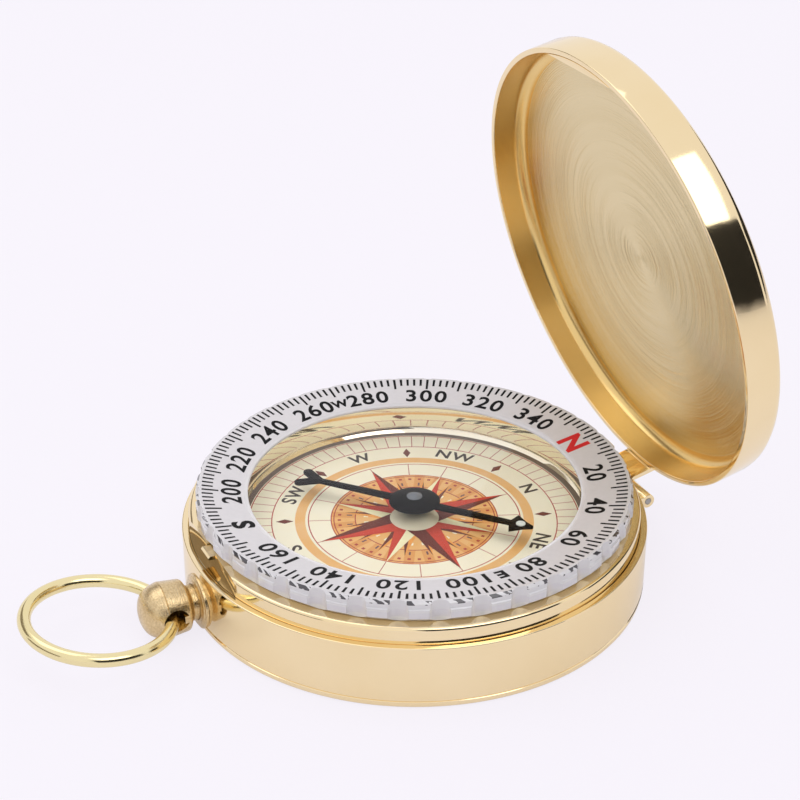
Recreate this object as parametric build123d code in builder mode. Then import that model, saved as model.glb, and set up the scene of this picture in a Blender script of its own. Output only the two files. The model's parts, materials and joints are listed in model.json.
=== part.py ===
# Pocket compass in a hinged, watch-style brass case, modelled with its lid open.
# Millimetres. The origin is the centre of the case's underside, +Z is up,
# +X points at the hinge and -X at the crown and the bow.
import math
import os

from build123d import *

# Case: a drawn cup with a rounded foot and a turned line above it
case_radius = 25.0
case_height = 7.2
case_wall = 0.75
case_floor = 0.7
foot_rounding = 0.55
turned_line_height = 0.9
turned_line_width = 0.24
turned_line_depth = 0.12
cut_overrun = 2.0

# Fits shared by neighbouring pieces
press_gap = 0.03
running_gap = 0.05
sliding_gap = 0.1
swing_gap = 0.2

# Neck ring pressed into the mouth of the case; the lid closes over it
neck_depth_in_case = 1.6
neck_height_above_case = 1.8
neck_skirt_thickness = 1.3
neck_plate_thickness = 0.5
neck_edge_rounding = 0.35
bezel_post_thickness = 0.5
bezel_post_height = 1.0
catch_flat_depth = 0.9

# Capsule: brass cup, dial, moulded window and its gasket
capsule_setback = 4.1
capsule_wall = 0.8
dial_depth = 1.6
capsule_plate_thickness = 0.8
dial_thickness = 0.2
dial_margin = 0.1
dial_ring_wall = 0.3
window_flange_width = 0.7
window_thickness = 0.8
window_wall = 0.7
window_rise = 2.6
window_flange_thickness = 0.6
window_shoulder = 1.1
gasket_thickness = 0.3

# Pivot and needle
boss_radius = 2.65
boss_height = 0.75
boss_bevel = 0.3
boss_stem_radius = 0.8
pin_radius = 0.25
pin_height = 2.4
pin_point_length = 0.6
pin_seat_depth = 0.8
needle_tip_margin = 6.2
needle_tail_margin = 6.3
needle_angle = -48.5
blade_thickness = 0.25
bar_width_at_hub = 1.2
bar_width_at_tip = 0.8
spear_length = 2.5
spear_shoulder = 0.55
spear_width = 3.2
spear_hollow = 0.35
spear_rounding = 0.25
fork_length = 2.3
fork_spread = 3.4
fork_lobe_width = 1.1
lume_radius = 0.5
lume_from_tip = 1.7
lume_thickness = 0.1
hub_radius = 2.8
hub_dome = 0.65
hub_cone = 1.1
hub_foot_radius = 0.9
hub_top_radius = 1.3
pivot_play = 0.05
jewel_radius = 0.85
jewel_rise = 0.22

# Turning bezel: clear scalloped ring with a sloping number band
bezel_setback = 0.82
bezel_lobes = 36
scallop_radius = 1.4
scallop_depth = 0.5
bezel_height = 2.4
band_edge_width = 0.6
band_width = 5.0
band_slope_height = 0.85
bezel_edge_bevel = 0.3
bezel_lift = 0.15
snap_wire_radius = 0.2
snap_wire_height = 0.5
snap_wire_arc = 350.0

# Hinge and lid
hinge_drop = 2.1
barrel_radius = 0.8
barrel_standoff = 0.1
hinge_length = 12.6
lid_knuckle_length = 5.2
hinge_pin_radius = 0.35
knuckle_web_height = 1.2
lid_open_angle = 77.3
lid_depth = 4.3
lid_wall = 0.6
lid_corner = 1.0
lid_dome = 0.3
corner_diagonal_share = 0.5
lid_shut_gap = 0.8
strap_thickness = 0.45
strap_height = 2.0
strap_rounding = 0.3
lip_width = 0.8
lip_thickness = 0.3

# Catch, crown and bow
pendant_height_share = 0.43
stem_radius = 1.2
crown_travel = 0.55
neck_stem_radius = 1.9
collar_length = 0.45
collar_radius = 2.95
collar_rounding = 0.15
crown_gap = 0.7
crown_length = 5.3
crown_radius = 3.0
crown_shoulder_radius = 2.75
crown_shoulder_length = 0.45
crown_band_length = 2.9
clip_radius = 1.9
clip_width = 0.3
clip_groove_depth = 0.25
catch_thickness = 0.5
catch_width = 2.2
catch_nose_thickness = 0.4
catch_nose_hook = 0.4
catch_nose_bevel = 0.2
catch_leaf_thickness = 0.15
catch_leaf_span = 8.4
catch_leaf_height = 3.0
bow_radius = 7.45
bow_wire_radius = 0.7
bow_hole_inset = 2.1
bow_hole_play = 0.15
bow_swing_arc = 310.0
bow_tilt = 7.0

# Lift spring that throws the lid open
lift_leaf_thickness = 0.25
lift_leaf_height = 1.6
lift_leaf_drop = 3.3
lift_leaf_angle = 50.0
lift_finger_width = 0.8
lift_finger_height = 0.7
lift_finger_drop = 1.3
rivet_radius = 0.4
rivet_head_radius = 0.75
rivet_head_thickness = 0.25

# Heights and radii worked out from the sizes above
case_inner = case_radius - case_wall
neck_radius = case_inner - press_gap
neck_low = case_height - neck_depth_in_case
neck_top = case_height + neck_height_above_case
neck_skirt_inner = neck_radius - neck_skirt_thickness
neck_plate_low = neck_top - neck_plate_thickness
capsule_radius = case_radius - capsule_setback
window_radius = capsule_radius - window_flange_width
post_inner = window_radius + swing_gap
post_outer = post_inner + bezel_post_thickness
post_top = neck_top + bezel_post_height
flange_top = neck_plate_low - gasket_thickness
flange_low = flange_top - window_flange_thickness
capsule_plate_height = flange_low - dial_depth
window_top = flange_low + window_rise
window_underside = window_top - window_thickness
capsule_inner = capsule_radius - capsule_wall
dial_top = capsule_plate_height + dial_thickness
dial_radius = capsule_inner - dial_margin
dial_ring_radius = window_radius - window_wall - running_gap
needle_reach = dial_radius - needle_tip_margin
needle_tail_reach = dial_radius - needle_tail_margin
pin_top = dial_top + pin_height
hub_rim_height = pin_top - blade_thickness
hub_top = hub_rim_height + hub_dome
hub_low = hub_rim_height - hub_cone
blade_low = hub_rim_height - blade_thickness
blade_top = hub_rim_height
hub_dome_radius = (hub_radius**2 + hub_dome**2) / (2 * hub_dome)
jewel_seat_height = hub_top - hub_dome_radius + math.sqrt(hub_dome_radius**2 - jewel_radius**2)
jewel_dome = hub_top + jewel_rise - jewel_seat_height
jewel_dome_radius = (jewel_radius**2 + jewel_dome**2) / (2 * jewel_dome)
bezel_low = neck_top + running_gap
bezel_top = bezel_low + bezel_height
bezel_bore = post_outer + running_gap
bezel_ceiling = window_top + bezel_lift
band_inner_height = bezel_top - band_slope_height
bezel_lobe_radius = neck_radius - bezel_setback
band_outer_radius = bezel_lobe_radius - band_edge_width
band_inner_radius = band_outer_radius - band_width
scallop_centre = bezel_lobe_radius - scallop_depth + scallop_radius
wire_height = neck_top + snap_wire_height
wire_centre = post_outer + running_gap / 2

hinge_height = case_height - hinge_drop
hinge_x = case_radius + barrel_standoff + barrel_radius
lid_inner = case_radius - lid_wall
lid_rim = case_height + lid_shut_gap
lid_top = lid_rim + lid_depth
lip_inner = lid_inner - lip_width
lip_top = lid_rim + lip_thickness
catch_flat = lip_inner - swing_gap - sliding_gap
nose_low = lip_top + sliding_gap
nose_top = nose_low + catch_nose_thickness
catch_inner = capsule_radius + crown_travel + swing_gap + sliding_gap
catch_outer = catch_inner + catch_thickness
catch_notch = catch_inner - crown_travel - sliding_gap
nose_tip = lip_inner + catch_nose_hook
pendant_height = case_height * pendant_height_share
stem_end = catch_outer + running_gap
collar_end = case_radius + collar_length
crown_start = collar_end + crown_gap
crown_end = crown_start + crown_length
clip_inner = case_inner - sliding_gap - case_wall / 2
bow_hole_x = crown_start + bow_hole_inset
lift_leaf_low = case_height - lift_leaf_drop
lift_finger_low = case_height - lift_finger_drop

# The lid's own frame: its closed position turned open about the hinge
open_sin = math.sin(math.radians(lid_open_angle))
open_cos = math.cos(math.radians(lid_open_angle))
lid_origin = (
    hinge_x - hinge_x * open_cos - hinge_height * open_sin,
    0,
    hinge_height + hinge_x * open_sin - hinge_height * open_cos,
)
lid_across = Vector(open_cos, 0, -open_sin)
lid_up = Vector(open_sin, 0, open_cos)
lid_plane = Plane(origin=lid_origin, x_dir=lid_across, z_dir=lid_up)
lid_section = Plane(origin=lid_origin, x_dir=lid_across, z_dir=(0, -1, 0))
lid_axis = Axis(lid_origin, lid_up)

# The crown's frame: its X runs outwards along the stem
crown_section = Plane(origin=(0, 0, pendant_height), x_dir=(-1, 0, 0), z_dir=(0, 1, 0))
crown_axis = Axis((0, 0, pendant_height), (-1, 0, 0))
crown_across = Plane(origin=(0, 0, pendant_height), x_dir=(0, 1, 0), z_dir=(-1, 0, 0))

os.makedirs("parts", exist_ok=True)


def keep(piece, label):
    piece.part.label = label
    export_step(piece.part, f"parts/{label}.step")


# Case shell
with BuildPart() as case_shell:
    with BuildSketch(Plane.XZ):
        with BuildLine():
            Polyline(
                (0, 0),
                (case_radius, 0),
                (case_radius, case_height),
                (case_inner, case_height),
                (case_inner, case_floor),
                (0, case_floor),
                close=True,
            )
        make_face()
    revolve(axis=Axis.Z)
    fillet(case_shell.edges().group_by(Axis.Z)[0].sort_by(SortBy.RADIUS)[-1], radius=foot_rounding)
    with BuildSketch(Plane.XZ):
        with Locations((case_radius, turned_line_height)):
            Rectangle(2 * turned_line_depth, turned_line_width)
    revolve(axis=Axis.Z, mode=Mode.SUBTRACT)
    with BuildSketch(crown_across.offset(case_inner - cut_overrun)):
        Circle(neck_stem_radius + running_gap)
    extrude(amount=2 * cut_overrun, mode=Mode.SUBTRACT)
    with BuildSketch(Plane.YZ.offset(case_inner - cut_overrun)):
        with Locations((0, lift_finger_low + lift_finger_height / 2)):
            Rectangle(lift_finger_width + 2 * sliding_gap, lift_finger_height + 2 * sliding_gap)
    extrude(amount=2 * cut_overrun, mode=Mode.SUBTRACT)
keep(case_shell, "case_shell")

# Neck ring with the post that the bezel turns on
with BuildPart() as neck_ring:
    with BuildSketch(Plane.XZ):
        with BuildLine():
            Polyline(
                (neck_skirt_inner, neck_low),
                (neck_radius, neck_low),
                (neck_radius, neck_top),
                (post_outer, neck_top),
                (post_outer, post_top),
                (post_inner, post_top),
                (post_inner, neck_plate_low),
                (neck_skirt_inner, neck_plate_low),
                close=True,
            )
        make_face()
    revolve(axis=Axis.Z)
    neck_edges = neck_ring.edges().filter_by(GeomType.CIRCLE).group_by(SortBy.RADIUS)[-1]
    fillet(neck_edges.sort_by(Axis.Z)[-1], radius=neck_edge_rounding)
    with BuildSketch(Plane.XZ):
        with Locations((wire_centre, wire_height)):
            Circle(snap_wire_radius + press_gap)
    revolve(axis=Axis.Z, mode=Mode.SUBTRACT)
    with BuildSketch(Plane.XY.offset(case_height - running_gap)):
        with Locations((-catch_flat - cut_overrun, 0)):
            Rectangle(2 * cut_overrun, 2 * case_radius)
    extrude(amount=neck_height_above_case + cut_overrun, mode=Mode.SUBTRACT)
    with BuildSketch(Plane.XY.offset(case_height - running_gap)):
        with Locations((-(catch_notch + neck_skirt_inner) / 2, 0)):
            Rectangle(neck_skirt_inner - catch_notch, catch_width + 2 * sliding_gap)
    extrude(amount=neck_height_above_case + cut_overrun, mode=Mode.SUBTRACT)
    with BuildSketch(Plane.XY.offset(nose_low - sliding_gap)):
        with Locations((-catch_notch - cut_overrun, 0)):
            Rectangle(2 * cut_overrun, catch_width + 2 * sliding_gap)
    extrude(amount=neck_height_above_case + cut_overrun, mode=Mode.SUBTRACT)
    with BuildSketch(Plane.XY.offset(neck_low)):
        with Locations((neck_radius, 0)):
            Rectangle(2 * (neck_skirt_thickness + sliding_gap), lift_finger_width + 2 * sliding_gap)
    extrude(
        amount=lift_finger_low + lift_finger_height + sliding_gap - neck_low,
        mode=Mode.SUBTRACT,
    )
keep(neck_ring, "neck_ring")

# Capsule cup that carries the dial
with BuildPart() as capsule_cup:
    with BuildSketch(Plane.XZ):
        with BuildLine():
            Polyline(
                (boss_stem_radius, capsule_plate_height),
                (capsule_inner, capsule_plate_height),
                (capsule_inner, flange_low),
                (capsule_radius, flange_low),
                (capsule_radius, case_floor),
                (capsule_inner, case_floor),
                (capsule_inner, capsule_plate_height - capsule_plate_thickness),
                (boss_stem_radius, capsule_plate_height - capsule_plate_thickness),
                close=True,
            )
        make_face()
    revolve(axis=Axis.Z)
keep(capsule_cup, "capsule_cup")

# Dial plate
with BuildPart() as dial_plate:
    with BuildSketch(Plane.XY.offset(capsule_plate_height)):
        Circle(dial_radius)
        Circle(boss_stem_radius + press_gap, mode=Mode.SUBTRACT)
    extrude(amount=dial_thickness)
keep(dial_plate, "dial_plate")

# Bright ring that stands on the dial's edge inside the window
with BuildPart() as dial_ring:
    with BuildSketch(Plane.XY.offset(dial_top)):
        Circle(dial_ring_radius)
        Circle(dial_ring_radius - dial_ring_wall, mode=Mode.SUBTRACT)
    extrude(amount=window_underside - sliding_gap - dial_top)
keep(dial_ring, "dial_ring")

# Pivot boss riveted through the dial
with BuildPart() as pivot_boss:
    with BuildSketch(Plane.XZ):
        with BuildLine():
            Polyline(
                (pin_radius, capsule_plate_height - capsule_plate_thickness),
                (boss_stem_radius - press_gap, capsule_plate_height - capsule_plate_thickness),
                (boss_stem_radius - press_gap, dial_top),
                (boss_radius, dial_top),
                (boss_radius, dial_top + boss_height - boss_bevel),
                (boss_radius - 2 * boss_bevel, dial_top + boss_height),
                (pin_radius, dial_top + boss_height),
                close=True,
            )
        make_face()
    revolve(axis=Axis.Z)
keep(pivot_boss, "pivot_boss")

# Pivot pin with its hardened point
with BuildPart() as pivot_pin:
    with BuildSketch(Plane.XZ):
        with BuildLine():
            Polyline(
                (0, dial_top - pin_seat_depth),
                (pin_radius, dial_top - pin_seat_depth),
                (pin_radius, pin_top - pin_point_length),
                (0, pin_top),
                close=True,
            )
        make_face()
    revolve(axis=Axis.Z)
keep(pivot_pin, "pivot_pin")

# Moulded window with a rounded shoulder and a clamping flange
with BuildPart() as capsule_window:
    with BuildSketch(Plane.XZ):
        with BuildLine():
            Polyline(
                (0, window_top),
                (window_radius, window_top),
                (window_radius, flange_top),
                (capsule_radius, flange_top),
                (capsule_radius, flange_low),
                (window_radius - window_wall, flange_low),
                (window_radius - window_wall, window_underside),
                (0, window_underside),
                close=True,
            )
        make_face()
    revolve(axis=Axis.Z)
    shoulder = capsule_window.edges().filter_by(GeomType.CIRCLE).group_by(Axis.Z)[-1]
    fillet(shoulder, radius=window_shoulder)
keep(capsule_window, "capsule_window")

# Gasket between the window's flange and the neck ring
with BuildPart() as window_gasket:
    with BuildSketch(Plane.XY.offset(flange_top)):
        Circle(capsule_radius)
        Circle(window_radius + running_gap, mode=Mode.SUBTRACT)
    extrude(amount=gasket_thickness)
keep(window_gasket, "window_gasket")

# Split snap wire that keeps the bezel on its post
with BuildPart() as bezel_snap_wire:
    with BuildSketch(Plane.XZ):
        with Locations((wire_centre, wire_height)):
            Circle(snap_wire_radius)
    revolve(axis=Axis.Z, revolution_arc=snap_wire_arc)
keep(bezel_snap_wire, "bezel_snap_wire")

# Turning bezel
with BuildPart() as bezel_ring:
    with BuildSketch(Plane.XZ):
        with BuildLine():
            Polyline(
                (bezel_bore, bezel_low),
                (bezel_lobe_radius, bezel_low),
                (bezel_lobe_radius, bezel_top - bezel_edge_bevel),
                (bezel_lobe_radius - bezel_edge_bevel, bezel_top),
                (band_outer_radius, bezel_top),
                (band_inner_radius, band_inner_height),
                (band_inner_radius, bezel_ceiling),
                (bezel_bore, bezel_ceiling),
                close=True,
            )
        make_face()
    revolve(axis=Axis.Z)
    with BuildSketch(Plane.XZ):
        with Locations((wire_centre, wire_height)):
            Circle(snap_wire_radius + running_gap)
    revolve(axis=Axis.Z, mode=Mode.SUBTRACT)
    with BuildSketch(Plane.XY.offset(bezel_low - cut_overrun)):
        with PolarLocations(scallop_centre, bezel_lobes):
            Circle(scallop_radius)
    extrude(amount=bezel_height + 2 * cut_overrun, mode=Mode.SUBTRACT)
keep(bezel_ring, "bezel_ring")

# Needle frame: its X runs along the pointing half
needle_sin = math.sin(math.radians(needle_angle))
needle_cos = math.cos(math.radians(needle_angle))
needle_plane = Plane(origin=(0, 0, blade_low), x_dir=(needle_cos, needle_sin, 0), z_dir=(0, 0, 1))

# Needle blade: arrowhead, tapering bar and a tail of two rounded lobes
spear_base = needle_reach - spear_length
spear_back = spear_base - spear_shoulder
fork_root = needle_tail_reach - fork_length
lobe_reach = fork_length - fork_lobe_width / 2
lobe_offset = (fork_spread - fork_lobe_width) / 2
lobe_angle = math.degrees(math.atan2(lobe_offset, lobe_reach))
lobe_run = math.hypot(lobe_reach, lobe_offset)
with BuildPart() as needle_blade:
    with BuildSketch(needle_plane) as needle_outline:
        with BuildLine():
            Polyline(
                (needle_reach, 0),
                ((needle_reach + spear_base) / 2, spear_width / 4 - spear_hollow / 2),
                (spear_base, spear_width / 2),
                (spear_back, 0),
                (spear_base, -spear_width / 2),
                ((needle_reach + spear_base) / 2, spear_hollow / 2 - spear_width / 4),
                close=True,
            )
        make_face()
        fillet(needle_outline.vertices().group_by(Axis.X)[-1], radius=spear_rounding)
        with BuildLine():
            Polyline(
                (spear_base, bar_width_at_tip / 2),
                (0, bar_width_at_hub / 2),
                (-fork_root, bar_width_at_tip / 2),
                (-fork_root, -bar_width_at_tip / 2),
                (0, -bar_width_at_hub / 2),
                (spear_base, -bar_width_at_tip / 2),
                close=True,
            )
        make_face()
        for side in (-1, 1):
            with Locations(Location((-fork_root - lobe_reach / 2, side * lobe_offset / 2), -side * lobe_angle)):
                SlotCenterToCenter(lobe_run, fork_lobe_width)
        Circle(hub_top_radius)
        Circle(pin_radius + sliding_gap, mode=Mode.SUBTRACT)
    extrude(amount=blade_thickness)
keep(needle_blade, "needle_blade")

# Needle cap: domed above, coned below and cupped inside for the pivot point
cup_radius = pin_radius + sliding_gap
with BuildPart() as needle_cap:
    with BuildSketch(Plane.XZ):
        with BuildLine():
            Polyline(
                (0, hub_top),
                (0, pin_top + pivot_play),
                (cup_radius, pin_top - pin_point_length),
                (cup_radius, hub_low),
                (hub_foot_radius, hub_low),
                (hub_radius, hub_rim_height),
            )
            RadiusArc((hub_radius, hub_rim_height), (0, hub_top), -hub_dome_radius)
        make_face()
    revolve(axis=Axis.Z)
    with BuildSketch(needle_plane):
        Rectangle(2 * needle_reach, bar_width_at_hub + 2 * press_gap)
        Circle(hub_top_radius + press_gap)
    extrude(amount=blade_thickness, mode=Mode.SUBTRACT)
keep(needle_cap, "needle_cap")

# Jewel set in the top of the cap
with BuildPart() as needle_jewel:
    with BuildSketch(Plane.XZ):
        with BuildLine():
            Line((0, hub_top + jewel_rise), (0, hub_top))
            RadiusArc((0, hub_top), (jewel_radius, jewel_seat_height), hub_dome_radius)
            RadiusArc((jewel_radius, jewel_seat_height), (0, hub_top + jewel_rise), -jewel_dome_radius)
        make_face()
    revolve(axis=Axis.Z)
keep(needle_jewel, "needle_jewel")

# Luminous dot on the arrowhead
with BuildPart() as needle_lume:
    with BuildSketch(needle_plane.offset(blade_thickness)):
        with Locations((needle_reach - lume_from_tip, 0)):
            Circle(lume_radius)
    extrude(amount=lume_thickness)
keep(needle_lume, "needle_lume")

# Hinge: outer knuckles on the case, a middle one on the lid, one pin through all
case_knuckle_start = lid_knuckle_length / 2 + sliding_gap
case_knuckle_length = hinge_length / 2 - case_knuckle_start
knuckle_ends = {"hinge_knuckle_front": case_knuckle_start, "hinge_knuckle_rear": -hinge_length / 2}
for knuckle_name, knuckle_offset in knuckle_ends.items():
    with BuildPart() as knuckle:
        with BuildSketch(Plane.XZ.offset(knuckle_offset)):
            with Locations((hinge_x, hinge_height)):
                Circle(barrel_radius)
            with Locations(((case_inner + hinge_x) / 2, hinge_height)):
                Rectangle(hinge_x - case_inner, knuckle_web_height)
        extrude(amount=case_knuckle_length)
        with BuildSketch(Plane.XY):
            Circle(case_radius + press_gap)
        extrude(amount=case_height, mode=Mode.SUBTRACT)
        with BuildSketch(Plane.XZ.offset(knuckle_offset)):
            with Locations((hinge_x, hinge_height)):
                Circle(hinge_pin_radius + press_gap)
        extrude(amount=case_knuckle_length, mode=Mode.SUBTRACT)
    keep(knuckle, knuckle_name)

with BuildPart() as hinge_pin:
    with BuildSketch(Plane.XZ.offset(-hinge_length / 2)):
        with Locations((hinge_x, hinge_height)):
            Circle(hinge_pin_radius)
    extrude(amount=hinge_length)
keep(hinge_pin, "hinge_pin")

with BuildPart() as lid_knuckle:
    with BuildSketch(lid_section):
        with Locations((hinge_x, hinge_height)):
            Circle(barrel_radius)
    extrude(amount=lid_knuckle_length / 2, both=True)
    for strap_low, strap_high, strap_inner in (
        (hinge_height, lid_rim, case_radius + barrel_standoff),
        (lid_rim, lid_rim + strap_height, case_radius + press_gap),
    ):
        with BuildSketch(lid_plane.offset(strap_low)):
            Circle(case_radius + barrel_standoff + strap_thickness)
            Circle(strap_inner, mode=Mode.SUBTRACT)
            with Locations((case_radius, 0)):
                Rectangle(case_radius, lid_knuckle_length - 2 * sliding_gap, mode=Mode.INTERSECT)
        extrude(amount=strap_high - strap_low)
    with BuildSketch(lid_section):
        with Locations((hinge_x, hinge_height)):
            Circle(hinge_pin_radius + running_gap)
    extrude(amount=lid_knuckle_length, both=True, mode=Mode.SUBTRACT)
keep(lid_knuckle, "lid_knuckle")

# Lid: a shallow spun cap with a rounded edge and a slightly domed top
corner_centre = Vector(case_radius - lid_corner, lid_top - lid_corner)
corner_inner = lid_corner - lid_wall
corner_diagonal = Vector(math.sqrt(corner_diagonal_share), math.sqrt(corner_diagonal_share))
dome_radius = (corner_centre.X**2 + lid_dome**2) / (2 * lid_dome)
with BuildPart() as lid_shell:
    with BuildSketch(lid_section):
        with BuildLine():
            Line((lid_inner, lid_rim), (case_radius, lid_rim))
            Line((case_radius, lid_rim), (case_radius, corner_centre.Y))
            ThreePointArc(
                (case_radius, corner_centre.Y),
                corner_centre + corner_diagonal * lid_corner,
                (corner_centre.X, lid_top),
            )
            RadiusArc((corner_centre.X, lid_top), (0, lid_top + lid_dome), -dome_radius)
            Line((0, lid_top + lid_dome), (0, lid_top + lid_dome - lid_wall))
            RadiusArc((0, lid_top + lid_dome - lid_wall), (corner_centre.X, lid_top - lid_wall), dome_radius)
            ThreePointArc(
                (corner_centre.X, lid_top - lid_wall),
                corner_centre + corner_diagonal * corner_inner,
                (lid_inner, corner_centre.Y),
            )
            Line((lid_inner, corner_centre.Y), (lid_inner, lid_rim))
        make_face()
    revolve(axis=lid_axis)
keep(lid_shell, "lid_shell")

# Lip across the lid's free edge that the catch hooks over
with BuildPart() as lid_catch_lip:
    with BuildSketch(lid_plane.offset(lid_rim)):
        Circle(lid_inner - press_gap)
        with Locations((-lip_inner - case_radius / 2, 0)):
            Rectangle(case_radius, 2 * case_radius, mode=Mode.INTERSECT)
    extrude(amount=lip_thickness)
keep(lid_catch_lip, "lid_catch_lip")

# Catch that slides in the case behind the crown's stem
with BuildPart() as lid_catch:
    with BuildSketch(Plane.XZ):
        with BuildLine():
            Polyline(
                (-catch_inner, case_floor + running_gap),
                (-catch_inner, nose_top),
                (catch_nose_bevel - nose_tip, nose_top),
                (-nose_tip, nose_top - catch_nose_bevel),
                (-nose_tip, nose_low),
                (-catch_outer, nose_low),
                (-catch_outer, case_floor + running_gap),
                close=True,
            )
        make_face()
    extrude(amount=catch_width / 2, both=True)
keep(lid_catch, "lid_catch")

# Bowed leaf that presses the catch outwards, backed by the capsule cup
leaf_end = math.sqrt(capsule_radius**2 - (catch_leaf_span / 2) ** 2) + running_gap
leaf_crest = catch_inner - running_gap
with BuildPart() as catch_leaf_spring:
    with BuildSketch(Plane.XY.offset(pendant_height - catch_leaf_height / 2)):
        with BuildLine():
            outer_bow = ThreePointArc(
                (-leaf_end - catch_leaf_thickness, -catch_leaf_span / 2),
                (-leaf_crest, 0),
                (-leaf_end - catch_leaf_thickness, catch_leaf_span / 2),
            )
            inner_bow = ThreePointArc(
                (-leaf_end, -catch_leaf_span / 2),
                (catch_leaf_thickness - leaf_crest, 0),
                (-leaf_end, catch_leaf_span / 2),
            )
            Line(outer_bow @ 0, inner_bow @ 0)
            Line(outer_bow @ 1, inner_bow @ 1)
        make_face()
    extrude(amount=catch_leaf_height)
keep(catch_leaf_spring, "catch_leaf_spring")

# Collar on the case wall that the crown's stem slides through
with BuildPart() as pendant_collar:
    with BuildSketch(crown_across.offset(case_inner)):
        Circle(collar_radius)
    extrude(amount=collar_end - case_inner)
    fillet(pendant_collar.edges().group_by(Axis.X)[0], radius=collar_rounding)
    with BuildSketch(crown_across.offset(case_inner)):
        Circle(neck_stem_radius + running_gap)
    extrude(amount=collar_end - case_inner, mode=Mode.SUBTRACT)
    with BuildSketch(Plane.XY.offset(-cut_overrun)):
        Circle(case_radius + press_gap)
    extrude(amount=case_height + 2 * cut_overrun, mode=Mode.SUBTRACT)
keep(pendant_collar, "pendant_collar")

# Crown: a round-ended push knob on its stem, cross-drilled for the bow
band_end = crown_start + crown_band_length
cap_centre = (crown_end**2 - band_end**2 - crown_radius**2) / (2 * (crown_end - band_end))
cap_radius = crown_end - cap_centre
cap_half_angle = math.atan2(crown_radius, band_end - cap_centre) / 2
neck_stem_end = case_inner - swing_gap
clip_groove_radius = stem_radius - clip_groove_depth
hole_radius = bow_wire_radius + bow_hole_play
hole_reach = crown_radius + bow_wire_radius
swing_waist = hole_radius + running_gap
hole_mouth = swing_waist + bow_radius - math.sqrt(bow_radius**2 - hole_reach**2)
bow_pivot = (-bow_hole_x, 0, pendant_height)
swing_start = math.radians(180 - bow_swing_arc / 2)
swing_out = Vector(math.cos(swing_start), 0, -math.sin(swing_start))
swing_plane = Plane(origin=bow_pivot, x_dir=swing_out, z_dir=swing_out.cross(Vector(0, 1, 0)))
with BuildPart() as crown_knob:
    with BuildSketch(crown_section):
        with BuildLine():
            Polyline(
                (crown_end, 0),
                (stem_end, 0),
                (stem_end, stem_radius),
                (clip_inner, stem_radius),
                (clip_inner, clip_groove_radius),
                (clip_inner + clip_width, clip_groove_radius),
                (clip_inner + clip_width, stem_radius),
                (neck_stem_end, stem_radius),
                (neck_stem_end, neck_stem_radius),
                (crown_start, neck_stem_radius),
                (crown_start + crown_shoulder_length, crown_shoulder_radius),
                (band_end, crown_radius),
            )
            ThreePointArc(
                (band_end, crown_radius),
                (
                    cap_centre + cap_radius * math.cos(cap_half_angle),
                    cap_radius * math.sin(cap_half_angle),
                ),
                (crown_end, 0),
            )
        make_face()
    revolve(axis=crown_axis)
    with BuildSketch(Plane(origin=bow_pivot, x_dir=(1, 0, 0), z_dir=(0, -1, 0))):
        Circle(hole_radius)
    extrude(amount=hole_reach, both=True, mode=Mode.SUBTRACT)
    with BuildSketch(swing_plane):
        with BuildLine():
            Polyline((hole_mouth, -hole_reach), (0, -hole_reach), (0, hole_reach), (hole_mouth, hole_reach))
            ThreePointArc((hole_mouth, hole_reach), (swing_waist, 0), (hole_mouth, -hole_reach))
        make_face()
    revolve(axis=Axis(bow_pivot, (0, 1, 0)), revolution_arc=bow_swing_arc, mode=Mode.SUBTRACT)
keep(crown_knob, "crown_knob")

# Clip on the stem that stops the crown from pulling out
with BuildPart() as crown_clip:
    with BuildSketch(crown_across.offset(clip_inner + press_gap)):
        Circle(clip_radius)
        Circle(clip_groove_radius + press_gap, mode=Mode.SUBTRACT)
        with Locations((0, -clip_radius)):
            Rectangle(clip_groove_radius, 2 * clip_radius, mode=Mode.SUBTRACT)
    extrude(amount=clip_width - 2 * press_gap)
keep(crown_clip, "crown_clip")

# Bow: a wire ring through the crown, lying nearly level
bow_sin = math.sin(math.radians(bow_tilt))
bow_cos = math.cos(math.radians(bow_tilt))
bow_centre = (-bow_hole_x - bow_radius * bow_cos, 0, pendant_height + bow_radius * bow_sin)
with BuildPart() as bow_ring:
    with BuildSketch(Plane.XZ):
        with Locations((-bow_hole_x, pendant_height)):
            Circle(bow_wire_radius)
    revolve(axis=Axis(bow_centre, (bow_sin, 0, bow_cos)))
keep(bow_ring, "bow_ring")

# Lift spring: a curved leaf along the wall whose finger pushes the lid's strap
leaf_outer = neck_skirt_inner - swing_gap
leaf_inner = leaf_outer - lift_leaf_thickness
finger_tip = case_radius + running_gap
rivet_height = lift_leaf_low + lift_leaf_height / 2
rivet_angle = lift_leaf_angle - math.degrees(lift_leaf_height / 2 / leaf_outer)
rivet_out = Vector(math.cos(math.radians(rivet_angle)), math.sin(math.radians(rivet_angle)), 0)
rivet_across = Vector(-rivet_out.Y, rivet_out.X, 0)
rivet_plane = Plane(origin=(0, 0, rivet_height), x_dir=rivet_across, z_dir=rivet_out)
with BuildPart() as lift_spring:
    with BuildSketch(Plane.XY.offset(lift_leaf_low)):
        with BuildLine():
            long_side = CenterArc((0, 0), leaf_outer, 0, lift_leaf_angle)
            short_side = CenterArc((0, 0), leaf_inner, 0, lift_leaf_angle)
            Line(long_side @ 0, short_side @ 0)
            Line(long_side @ 1, short_side @ 1)
        make_face()
    extrude(amount=lift_leaf_height)
    with BuildSketch(Plane.XZ):
        with BuildLine():
            Polyline(
                (leaf_inner, lift_leaf_low),
                (leaf_outer, lift_leaf_low),
                (leaf_outer, lift_finger_low),
                (finger_tip, lift_finger_low),
                (finger_tip, lift_finger_low + lift_finger_height),
                (leaf_inner, lift_finger_low + lift_finger_height),
                close=True,
            )
        make_face()
    extrude(amount=lift_finger_width / 2, both=True)
    with BuildSketch(rivet_plane):
        Circle(rivet_radius + press_gap)
    extrude(amount=case_inner, mode=Mode.SUBTRACT)
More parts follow.
